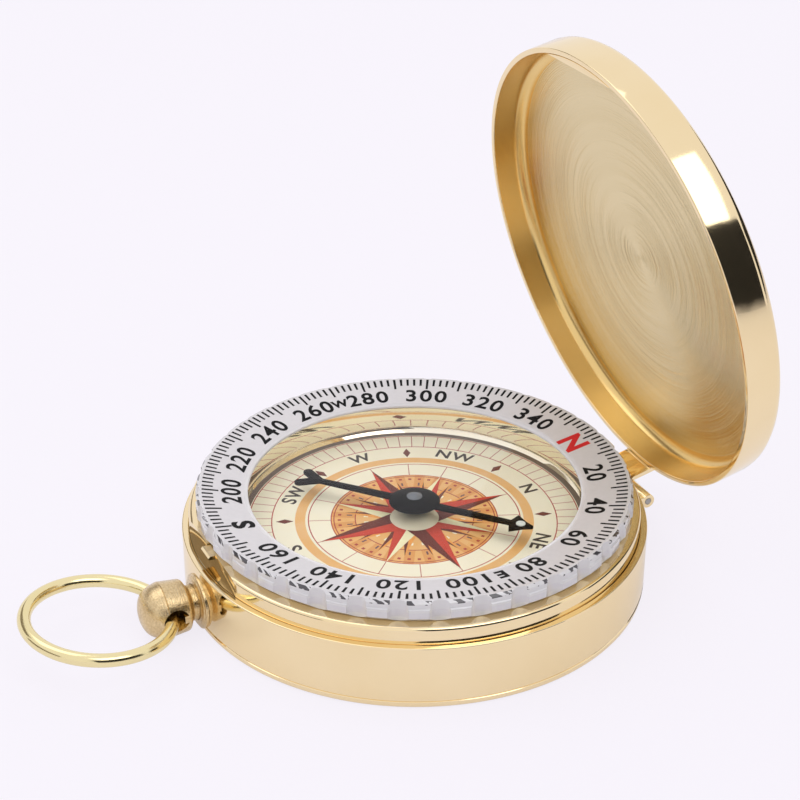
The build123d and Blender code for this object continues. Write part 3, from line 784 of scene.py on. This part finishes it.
neck_inner = NECK_RADIUS - NECK_SKIRT
neck = turn(
    "neck_band",
    [
        (neck_inner, neck_low.z, 0),
        (NECK_RADIUS, neck_low.z, 0),
        (NECK_RADIUS, NECK_TOP, NECK_ROUNDING),
        (POST_OUTER, NECK_TOP, 0),
        (POST_OUTER, neck_high.z, 0),
        (POST_INNER, neck_high.z, 0),
        (POST_INNER, NECK_TOP - NECK_PLATE, 0),
        (neck_inner, NECK_TOP - NECK_PLATE, 0),
        (neck_inner, neck_low.z, 0),
    ],
)
cut(neck, block((-2 * CATCH_FLAT, -CASE_RADIUS, CASE_HEIGHT), (-CATCH_FLAT, CASE_RADIUS, 2 * NECK_TOP)))
slot_corner = (-CATCH_NOTCH, CATCH_SLOT / 2, 2 * NECK_TOP)
cut(neck, block((-neck_inner, -CATCH_SLOT / 2, CASE_HEIGHT), slot_corner))
cut(neck, block((-CASE_RADIUS, -CATCH_SLOT / 2, NOSE_SLOT_LOW), slot_corner))
dress(neck, case_brass, "case", "polished_brass", "neck_ring")

cup_inner = cup_high.x - CUP_WALL
cup = turn(
    "capsule_wall",
    [
        (cup_inner, dial_low.z, 0),
        (cup_inner, cup_high.z, 0),
        (cup_high.x, cup_high.z, 0),
        (cup_high.x, cup_low.z, 0),
        (cup_inner, cup_low.z, 0),
        (cup_inner, dial_low.z, 0),
    ],
)
dress(cup, cup_brass, "case", "capsule_brass", "capsule_cup")

ring_inner = ring_high.x - RING_WALL
ring = turn(
    "dial_wall_ring",
    [
        (RING_FOOT, ring_low.z, 0),
        (ring_inner, ring_low.z + RING_FOOT_HEIGHT, RING_WALL),
        (ring_inner, ring_high.z, RING_WALL / 3),
        (ring_high.x, ring_high.z, RING_WALL / 3),
        (ring_high.x, ring_low.z, 0),
        (RING_FOOT, ring_low.z, 0),
    ],
)
dress(ring, lit_wall_brass, "case", "capsule_brass", "dial_ring")

# Window
window_inner = WINDOW_RADIUS - WINDOW_WALL
window = turn(
    "window_dome",
    [
        (0, window_high.z, 0),
        (WINDOW_RADIUS, window_high.z, WINDOW_SHOULDER),
        (WINDOW_RADIUS, FLANGE_TOP, 0),
        (window_high.x, FLANGE_TOP, 0),
        (window_high.x, window_low.z, 0),
        (window_inner, window_low.z, 0),
        (window_inner, window_high.z - WINDOW_THICKNESS, WINDOW_SHOULDER / 2),
        (0, window_high.z - WINDOW_THICKNESS, 0),
    ],
)
dress(window, window_clear, "case", "clear_window", "capsule_window")

# Bezel
bezel = turn(
    "bezel_body",
    [
        (BEZEL_BORE, bezel_low.z, 0),
        (BEZEL_RADIUS - BEZEL_FOOT, bezel_low.z, 0),
        (BEZEL_RADIUS, bezel_low.z + BEZEL_FOOT, 0),
        (BEZEL_RADIUS, bezel_high.z - BEZEL_STEP_DROP, 0),
        (BEZEL_RADIUS - BEZEL_STEP, bezel_high.z - BEZEL_STEP_DROP + BEZEL_STEP, 0),
        (BEZEL_RADIUS - BEZEL_STEP, bezel_high.z - BEZEL_BEVEL, 0),
        (BEZEL_RADIUS - BEZEL_STEP - BEZEL_BEVEL, bezel_high.z, 0),
        (BAND_OUTER, bezel_high.z, 0),
        (BAND_INNER, bezel_high.z - BAND_DROP, BAND_ROUNDING),
        (BAND_INNER, BEZEL_CEILING, 0),
        (BEZEL_BORE, BEZEL_CEILING, 0),
        (BEZEL_BORE, bezel_low.z, 0),
    ],
    steps=STEPS_PER_LOBE * BEZEL_LOBES,
)
scallops = []
scallop_centre = BEZEL_RADIUS - SCALLOP_DEPTH + SCALLOP_RADIUS
for lobe in range(BEZEL_LOBES):
    bpy.ops.object.select_all(action="DESELECT")
    bpy.ops.mesh.primitive_cylinder_add(
        vertices=SCALLOP_FACETS,
        radius=SCALLOP_RADIUS,
        depth=2 * bezel_high.z,
        location=(scallop_centre, 0, bezel_high.z),
    )
    scallop = bpy.context.object
    bpy.ops.object.transform_apply(location=True)
    settle(scallop, Matrix.Rotation(2 * math.pi * lobe / BEZEL_LOBES, 4, "Z"))
    scallops.append(scallop)
cut(bezel, join(scallops, "scallop_cutter"))
ease(bezel, LOBE_EASING)
smooth(bezel)
dress(bezel, bezel_clear, "bezel", "clear_bezel", "bezel_ring")

film_low = bezel_high.z - BAND_DROP * (BAND_OUTER - FILM_INNER) / (BAND_OUTER - BAND_INNER)
band = turn(
    "bezel_band",
    [
        (BAND_OUTER - PRINT_RISE, bezel_high.z, 0),
        (BAND_OUTER - PRINT_RISE, bezel_high.z + PRINT_RISE / 2, 0),
        (FILM_INNER, film_low + PRINT_RISE / 2, 0),
        (FILM_INNER, film_low, 0),
        (BAND_OUTER - PRINT_RISE, bezel_high.z, 0),
    ],
)
dress(band, band_grey, "bezel", "clear_bezel")

# Scale printed on the sloping band
BAND_SLOPE = math.atan2(BAND_DROP, BAND_OUTER - BAND_INNER)


def on_band(degrees, radius):
    """The frame of a print on the band: X clockwise, Y outwards, Z off the surface."""
    height = bezel_high.z - BAND_DROP + (radius - BAND_INNER) * math.tan(BAND_SLOPE) + PRINT_RISE
    heading = Matrix.Rotation(math.radians(-degrees) - math.pi / 2, 4, "Z")
    outwards = Matrix.Translation(Vector((0, radius, height)))
    return heading @ outwards @ Matrix.Rotation(BAND_SLOPE, 4, "X")


def tick(inner):
    """A printed stroke with drafted sides, a little narrower towards the centre."""
    length = TICK_OUTER - inner
    half = Vector((TICK_WIDTH, length, PRINT_RISE)) / 2
    mark = block(-half, half)
    edit(mark)
    pick_vertices(mark, lambda co: co.z > 0)
    bpy.ops.transform.resize(value=TICK_DRAFT_SHARES, center_override=(0, 0, 0))
    pick_vertices(mark, lambda co: co.y < 0)
    bpy.ops.transform.resize(value=TICK_TAPER_SHARES, center_override=(0, 0, 0))
    leave_edit()
    return mark


ticks = []
for inner, long_mark in ((TICK_INNER, False), (LONG_TICK_INNER, True)):
    master = tick(inner)
    for degrees in range(0, 360, TICK_STEP):
        if (degrees % LONG_TICK_EVERY == 0) == long_mark:
            ticks.append(copied(master, on_band(degrees, (TICK_OUTER + inner) / 2)))
    bpy.data.objects.remove(master)
dress(join(ticks, "bezel_ticks"), scale_ink, "bezel", "clear_bezel")

# Each digit of a number faces the centre
numbers = []
for degrees in range(0, 360, NUMBER_STEP):
    if degrees % CARDINAL_STEP == 0:
        continue
    digits = str(degrees)
    for place_in_number, digit in enumerate(digits):
        offset = (place_in_number - (len(digits) - 1) / 2) * DIGIT_PITCH
        heading = degrees + math.degrees(offset / NUMBER_RADIUS)
        numbers.append(lettering(digit, NUMBER_SIZE, on_band(heading, NUMBER_RADIUS), NUMBER_WEIGHT))
for degrees, letter, size in DARK_CARDINALS:
    numbers.append(lettering(letter, size, on_band(degrees, NUMBER_RADIUS), LETTER_WEIGHT_SHARE * size))
dress(join(numbers, "bezel_numbers"), scale_ink, "bezel", "clear_bezel")
north = lettering("N", NORTH_SIZE, on_band(0, NUMBER_RADIUS), LETTER_WEIGHT_SHARE * NORTH_SIZE)
dress(join([north], "bezel_north"), north_ink, "bezel", "clear_bezel")

# Dial
dial = turn(
    "dial_face",
    [
        (0, dial_high.z, 0),
        (dial_high.x, dial_high.z, 0),
        (dial_high.x, dial_low.z, 0),
        (0, dial_low.z, 0),
    ],
)
dress(dial, dial_print, "case", "printed_dial", "dial_plate")


def star(name, points, reach, waist, layer, offset, finishes):
    """A flat star of two-tone points, printed on the dial."""
    bpy.ops.object.select_all(action="DESELECT")
    height = dial_high.z + layer * PRINT_RISE / 2
    bpy.ops.mesh.primitive_circle_add(
        vertices=2 * points, radius=reach, fill_type="TRIFAN", location=(0, 0, height)
    )
    piece = bpy.context.object
    piece.name = piece.data.name = name
    bpy.ops.object.transform_apply(location=True)
    edit(piece)
    tip = piece.data.vertices[0].co.copy()
    tip_angle = math.atan2(tip.y, tip.x)

    def in_valley(co):
        step = (math.atan2(co.y, co.x) - tip_angle) * points / math.pi
        return co.xy.length > reach / 2 and round(step) % 2 == 1

    bpy.ops.mesh.select_mode(type="VERT")
    pick_vertices(piece, in_valley)
    bpy.ops.transform.resize(value=(waist / reach, waist / reach, 1), center_override=(0, 0, height))
    leave_edit()
    settle(piece, Matrix.Rotation(-tip_angle + offset, 4, "Z"))
    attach(piece, "case")
    for finish in finishes:
        piece.data.materials.append(finish)
    for face in piece.data.polygons:
        middle = face.center
        step = (math.atan2(middle.y, middle.x) - offset) * points / math.pi
        face.material_index = math.floor(step) % 2
    return piece


star("rose_minor", 16, MINOR_REACH, MINOR_WAIST, 1, math.pi / 16, (rose_orange, rose_dark))
star("rose_half", 8, HALF_REACH, HALF_WAIST, 2, 0, (rose_light, rose_red))
star("rose_main", 4, MAIN_REACH, MAIN_WAIST, 3, 0, (rose_red, rose_dark))


def on_dial(degrees, radius):
    heading = Matrix.Rotation(math.radians(-degrees) - math.pi / 2, 4, "Z")
    return heading @ Matrix.Translation(Vector((0, radius, dial_high.z)))


letters = []
for index, letter in enumerate(DIAL_LETTERS):
    spot = on_dial(DIAL_LETTER_STEP * index, DIAL_LETTER_RADIUS)
    letters.append(lettering(letter, DIAL_LETTER_SIZE, spot, DIAL_LETTER_WEIGHT))
dress(join(letters, "dial_letters"), dial_ink, "case", "printed_dial")


def lozenge(degrees):
    """A small four-sided mark between two letters."""
    bpy.ops.object.select_all(action="DESELECT")
    bpy.ops.mesh.primitive_circle_add(vertices=4, radius=LOZENGE_LENGTH / 2, fill_type="NGON")
    mark = bpy.context.object
    edit(mark)
    bpy.ops.mesh.select_all(action="SELECT")
    bpy.ops.transform.resize(value=(LOZENGE_WIDTH / LOZENGE_LENGTH, 1, 1), center_override=(0, 0, 0))
    bpy.ops.mesh.extrude_region_move(TRANSFORM_OT_translate={"value": (0, 0, PRINT_RISE / 2)})
    tidy_normals()
    leave_edit()
    return settle(mark, on_dial(degrees, DIAL_LETTER_RADIUS))


lozenges = [lozenge(DIAL_LETTER_STEP * (index + 0.5)) for index in range(len(DIAL_LETTERS))]
dress(join(lozenges, "dial_lozenges"), rose_dark, "case", "printed_dial")

# Pivot boss and needle
boss = turn(
    "boss_dome",
    [
        (0, boss_high.z, 0),
        (boss_high.x * BOSS_TOP_SHARE, boss_high.z, BOSS_BEVEL),
        (boss_high.x, boss_high.z - 2 * BOSS_BEVEL, BOSS_EDGE),
        (boss_high.x, dial_high.z, 0),
        (0, dial_high.z, 0),
    ],
    steps=SMALL_TURN_STEPS,
)
dress(boss, boss_cream, "case", "turned_brass", "pivot_boss")

cap_radius = cap_high.x
cap = turn(
    "needle_hub",
    [
        (0, cap_high.z, 0),
        (cap_radius * CAP_CROWN_SHARE, cap_high.z - CAP_CROWN_DROP, CAP_CROWN_ROUNDING),
        (cap_radius * CAP_SIDE_SHARE, CAP_RIM + CAP_SIDE_RISE, CAP_SIDE_ROUNDING),
        (cap_radius, CAP_RIM, CAP_RIM_ROUNDING),
        (CAP_FOOT, cap_low.z, CAP_FOOT_ROUNDING),
        (CAP_BORE, cap_low.z, 0),
        (CAP_BORE, CAP_RIM, 0),
        (0, CAP_RIM, 0),
    ],
    steps=SMALL_TURN_STEPS,
)
dress(cap, needle_black, "needle", "needle_black", "needle_cap")
blade = eased_node("needle_blade", "needle_pointer", NEEDLE_EASING)
dress(blade, needle_black, "needle", "needle_black", "needle_blade")

# Lid, whose dome falls with the square of the radius
lid_inner = CASE_RADIUS - LID_WALL
lid_top = LID_RIM + LID_DEPTH
lid = turn(
    "lid_cap",
    [
        (0, lid_top + LID_DOME, 0),
        (CASE_RADIUS / 3, lid_top + LID_DOME * 8 / 9, 0),
        (CASE_RADIUS * 2 / 3, lid_top + LID_DOME * 5 / 9, 0),
        (CASE_RADIUS, lid_top, LID_CORNER),
        (CASE_RADIUS, LID_RIM, EDGE_ROUNDING),
        (lid_inner, LID_RIM, EDGE_ROUNDING),
        (lid_inner, lid_top - LID_WALL, LID_INNER_CORNER),
        (CASE_RADIUS * 2 / 3, lid_top + LID_DOME * 5 / 9 - LID_WALL, 0),
        (CASE_RADIUS / 3, lid_top + LID_DOME * 8 / 9 - LID_WALL, 0),
        (0, lid_top + LID_DOME - LID_WALL, 0),
    ],
)
settle(lid, LID_TURN)
dress(lid, lid_brass, "lid", "spun_brass", "lid_shell")
lid.data.materials.append(case_brass)
lid.data.materials.append(shaded_lid_wall_brass)

# Spun brass inside, a deeper brass on the inner wall as painted shade, polished brass outside
lid_shut = LID_TURN.inverted()
for face in lid.data.polygons:
    middle = lid_shut @ face.center
    facing = lid_shut.to_3x3() @ face.normal
    inside = middle.xy.length < CASE_RADIUS - LID_WALL / 2 and middle.z > LID_RIM + EDGE_ROUNDING
    if inside and facing.xy.dot(middle.xy.normalized()) < -WALL_FACING:
        face.material_index = 2
    elif inside and facing.z < 0:
        face.material_index = 0
    else:
        face.material_index = 1

for node, name, body in (
    ("lid_knuckle", "lid_hinge_strap", "lid"),
    ("lid_catch_lip", "lid_lip", "lid"),
    ("hinge_knuckle_front", "knuckle_front", "case"),
    ("hinge_knuckle_rear", "knuckle_rear", "case"),
):
    dress(eased_node(node, name, HINGE_EASING), case_brass, body, "polished_brass", node)

# Crown, collar and bow: the lathe's Z becomes the stem's outward axis
STEM_TURN = Matrix.Translation(Vector((0, 0, BOW_PIVOT.z))) @ Matrix.Rotation(-math.pi / 2, 4, "Y")
crown_end = -crown_low.x
band_end = CROWN_START + CROWN_BAND
crown = turn(
    "crown_ball",
    [
        (0, -crown_high.x, 0),
        (STEM_RADIUS, -crown_high.x, 0),
        (STEM_RADIUS, NECK_STEM_END, 0),
        (CROWN_NECK, NECK_STEM_END, 0),
        (CROWN_NECK, CROWN_START, CROWN_FOOT_ROUNDING),
        (CROWN_SHOULDER, CROWN_START + CROWN_SHOULDER_LENGTH, CROWN_SHOULDER_ROUNDING),
        (CROWN_RADIUS, band_end - 2 * EDGE_LINE, 0),
        (CROWN_RADIUS - EDGE_LINE, band_end - EDGE_LINE, 0),
        (CROWN_RADIUS - EDGE_LINE / 4, band_end, 0),
        (CROWN_RADIUS * CROWN_SIDE_SHARE, crown_end - CROWN_SIDE_DROP, CROWN_SIDE_ROUNDING),
        (CROWN_RADIUS * CROWN_END_SHARE, crown_end - CROWN_END_DROP, CROWN_END_ROUNDING),
        (0, crown_end, 0),
    ],
    steps=STEM_TURN_STEPS,
)
settle(crown, STEM_TURN)
bpy.ops.object.select_all(action="DESELECT")
bpy.ops.mesh.primitive_cylinder_add(
    vertices=HOLE_FACETS,
    radius=BOW_HOLE,
    depth=4 * CROWN_RADIUS,
    location=BOW_PIVOT,
    rotation=(math.pi / 2, 0, 0),
)
hole = bpy.context.object
bpy.ops.object.transform_apply(location=True, rotation=True)
cut(crown, hole)

# The bow's swing bells the hole out, all but a tongue on its inner side
reach = CROWN_RADIUS + BOW_WIRE
bell = [(0, -reach, 0)]
for step in range(-BELL_STEPS, BELL_STEPS + 1):
    along = reach * step / BELL_STEPS
    bell.append((BOW_HOLE + BOW_RADIUS - math.sqrt(BOW_RADIUS**2 - along**2), along, 0))
bell.append((0, reach, 0))
bell_cutter = turn("swing_bell", bell, steps=BELL_TURN_STEPS)
settle(bell_cutter, Matrix.Translation(BOW_PIVOT) @ Matrix.Rotation(-math.pi / 2, 4, "X"))
tongue_low = BOW_PIVOT + Vector((BOW_HOLE, -2 * reach, -BOW_TONGUE))
tongue_high = BOW_PIVOT + Vector((reach, 2 * reach, BOW_TONGUE))
cut(bell_cutter, block(tongue_low, tongue_high))
cut(crown, bell_cutter)
dress(crown, crown_brass, "crown", "turned_brass", "crown_knob")

collar_bore = CROWN_NECK + COLLAR_PLAY
collar_rim = -collar_low.x - COLLAR_RIM_DROP
collar = turn(
    "collar_ring",
    [
        (collar_bore, -collar_high.x, 0),
        (collar_high.y, -collar_high.x, 0),
        (collar_high.y, collar_rim, COLLAR_ROUNDING),
        (collar_high.y - COLLAR_STEP, collar_rim, COLLAR_GROOVE_ROUNDING),
        (collar_high.y - 2 * COLLAR_STEP, collar_rim + COLLAR_STEP, COLLAR_ROUNDING),
        (collar_high.y - 3 * COLLAR_STEP, -collar_low.x - COLLAR_DRAFT, 0),
        (collar_bore, -collar_low.x, 0),
        (collar_bore, -collar_high.x, 0),
    ],
    steps=STEM_TURN_STEPS,
)
settle(collar, STEM_TURN)
dress(collar, crown_brass, "case", "turned_brass", "pendant_collar")

wire = []
for facet in range(BOW_FACETS + 1):
    heading = 2 * math.pi * facet / BOW_FACETS
    wire.append((BOW_RADIUS + BOW_WIRE * math.cos(heading), BOW_WIRE * math.sin(heading), 0))
bow = turn("bow_wire", wire, steps=BOW_TURN_STEPS)
settle(
    bow,
    Matrix.Translation(BOW_PIVOT)
    @ Matrix.Rotation(BOW_TILT, 4, "Y")
    @ Matrix.Translation(Vector((-BOW_RADIUS, 0, 0))),
)
smooth(bow, math.pi)
dress(bow, bow_brass, "bow", "bow_brass", "bow_ring")

# Pieces that stay as the frame gives them
for node, finish in (
    ("needle_jewel", jewel_grey),
    ("needle_lume", lume),
    ("window_gasket", rubber),
    ("lid_catch", case_brass),
    ("pivot_pin", steel),
    ("hinge_pin", steel),
    ("bezel_snap_wire", steel),
    ("catch_leaf_spring", steel),
    ("crown_clip", steel),
    ("lift_spring", steel),
    ("lift_spring_rivet", case_brass),
):
    part = frame["nodes"][node]
    part.data.materials.clear()
    part.data.materials.append(finish)


# Stage
def shade_cloth(name, dark):
    """Dark cloth that pales towards its lower edge."""
    finish = Finish(name)
    split = finish.node("ShaderNodeSeparateXYZ", None, finish.coordinates()).socket.node
    sway = finish.noise(finish.coordinates(), 5.0, 2.0) * 0.14
    rise = (Signal(finish, split.outputs[1]) + sway) * 7.0 + 3.0
    depth = rise.maths("MINIMUM", rise.maths("MAXIMUM", rise, 0.0), 1.0)
    finish.set("Base Color", finish.mix(depth, (0.9, 0.88, 0.9, 1), dark))
    finish.set("Roughness", 0.8)
    return finish.material


BACKGROUND = rgb(251, 247, 255)
PAPER_GLOW_SHARE = 0.85
MIRRORED_GLOW_SHARE = 0.45


def paper_sweep(name):
    """White paper: part of what the camera and the brass see of it is plain white."""
    finish = Finish(name)
    finish.set("Base Color", (0.86, 0.85, 0.88, 1))
    finish.set("Roughness", 0.8)
    seen = finish.node("ShaderNodeLightPath", output="Is Camera Ray")
    through = finish.node("ShaderNodeLightPath", output="Is Transmission Ray")
    mirrored = finish.node("ShaderNodeLightPath", output="Is Glossy Ray")
    glow = finish.node("ShaderNodeEmission", None, BACKGROUND, 1.0)
    share = seen.maths("MAXIMUM", seen, through) * PAPER_GLOW_SHARE
    share = share.maths("MAXIMUM", share, mirrored * MIRRORED_GLOW_SHARE)
    mixed = finish.node("ShaderNodeMixShader", None, share, Signal(finish, finish.shader.outputs[0]), glow)
    finish.feed(finish.tree.nodes["Material Output"].inputs["Surface"], mixed)
    return finish.material


FLOOR_SIZE = 4.0
FLOOR_GAP = 0.01 * MM
bpy.ops.object.select_all(action="DESELECT")
bpy.ops.mesh.primitive_plane_add(size=FLOOR_SIZE, location=(0, 0, -FLOOR_GAP))
floor = bpy.context.object
floor.name = "floor"
floor.data.materials.append(paper_sweep("floor_paper"))

world = bpy.data.worlds.new("studio")
bpy.context.scene.world = world
world.use_nodes = True
sky = world.node_tree.nodes["Background"]
sky.inputs["Color"].default_value = (0.93, 0.915, 0.95, 1)
sky.inputs["Strength"].default_value = 1.0


def softbox(name, place_mm, size_mm, watts):
    lamp = bpy.data.lights.new(name, "AREA")
    lamp.shape = "RECTANGLE"
    lamp.size, lamp.size_y = (side * MM for side in size_mm)
    lamp.energy = watts
    holder = bpy.data.objects.new(name, lamp)
    holder.location = Vector(place_mm) * MM
    aim = CAMERA_TARGET - holder.location
    holder.rotation_euler = aim.to_track_quat("-Z", "Y").to_euler()
    bpy.context.scene.collection.objects.link(holder)


softbox("top_softbox", (-120, 160, 420), (300, 300), 0.2)
softbox("front_softbox", (60, -297, 418), (340, 277), 0.4)


# Dark cards that the polished brass mirrors
def card(name, place_mm, size_mm, finish):
    bpy.ops.object.select_all(action="DESELECT")
    bpy.ops.mesh.primitive_plane_add(size=1, location=Vector(place_mm) * MM)
    sheet = bpy.context.object
    sheet.name = name
    sheet.scale = (size_mm[0] * MM, size_mm[1] * MM, 1)
    sheet.rotation_euler = (CAMERA_TARGET - sheet.location).to_track_quat("Z", "Y").to_euler()
    sheet.data.materials.append(finish)
    sheet.visible_camera = False


dark_cloth = shade_cloth("dark_cloth", (0.012, 0.012, 0.012, 1))
dim_cloth = shade_cloth("dim_cloth", (0.3, 0.26, 0.21, 1))
card("camera_shade", (90, -474, 165), (640, 370), dark_cloth)
card("left_shade", (-520, 40, 90), (520, 150), dim_cloth)
card("right_shade", (520, -40, 130), (520, 260), dark_cloth)
card("back_shade", (-225, 480, 270), (570, 190), dim_cloth)

lens = bpy.data.cameras.new("camera")
lens.lens = FOCAL_LENGTH
lens.sensor_width = SENSOR_WIDTH
lens.clip_start = 1 * MM
camera = bpy.data.objects.new("camera", lens)
back = Vector(
    (
        math.sin(CAMERA_AZIMUTH) * math.cos(CAMERA_ELEVATION),
        -math.cos(CAMERA_AZIMUTH) * math.cos(CAMERA_ELEVATION),
        math.sin(CAMERA_ELEVATION),
    )
)
camera.location = CAMERA_TARGET + back * CAMERA_DISTANCE
camera.rotation_euler = (math.pi / 2 - CAMERA_ELEVATION, 0, CAMERA_AZIMUTH)
bpy.context.scene.collection.objects.link(camera)
bpy.context.scene.camera = camera
bpy.context.scene.view_settings.view_transform = "Standard"
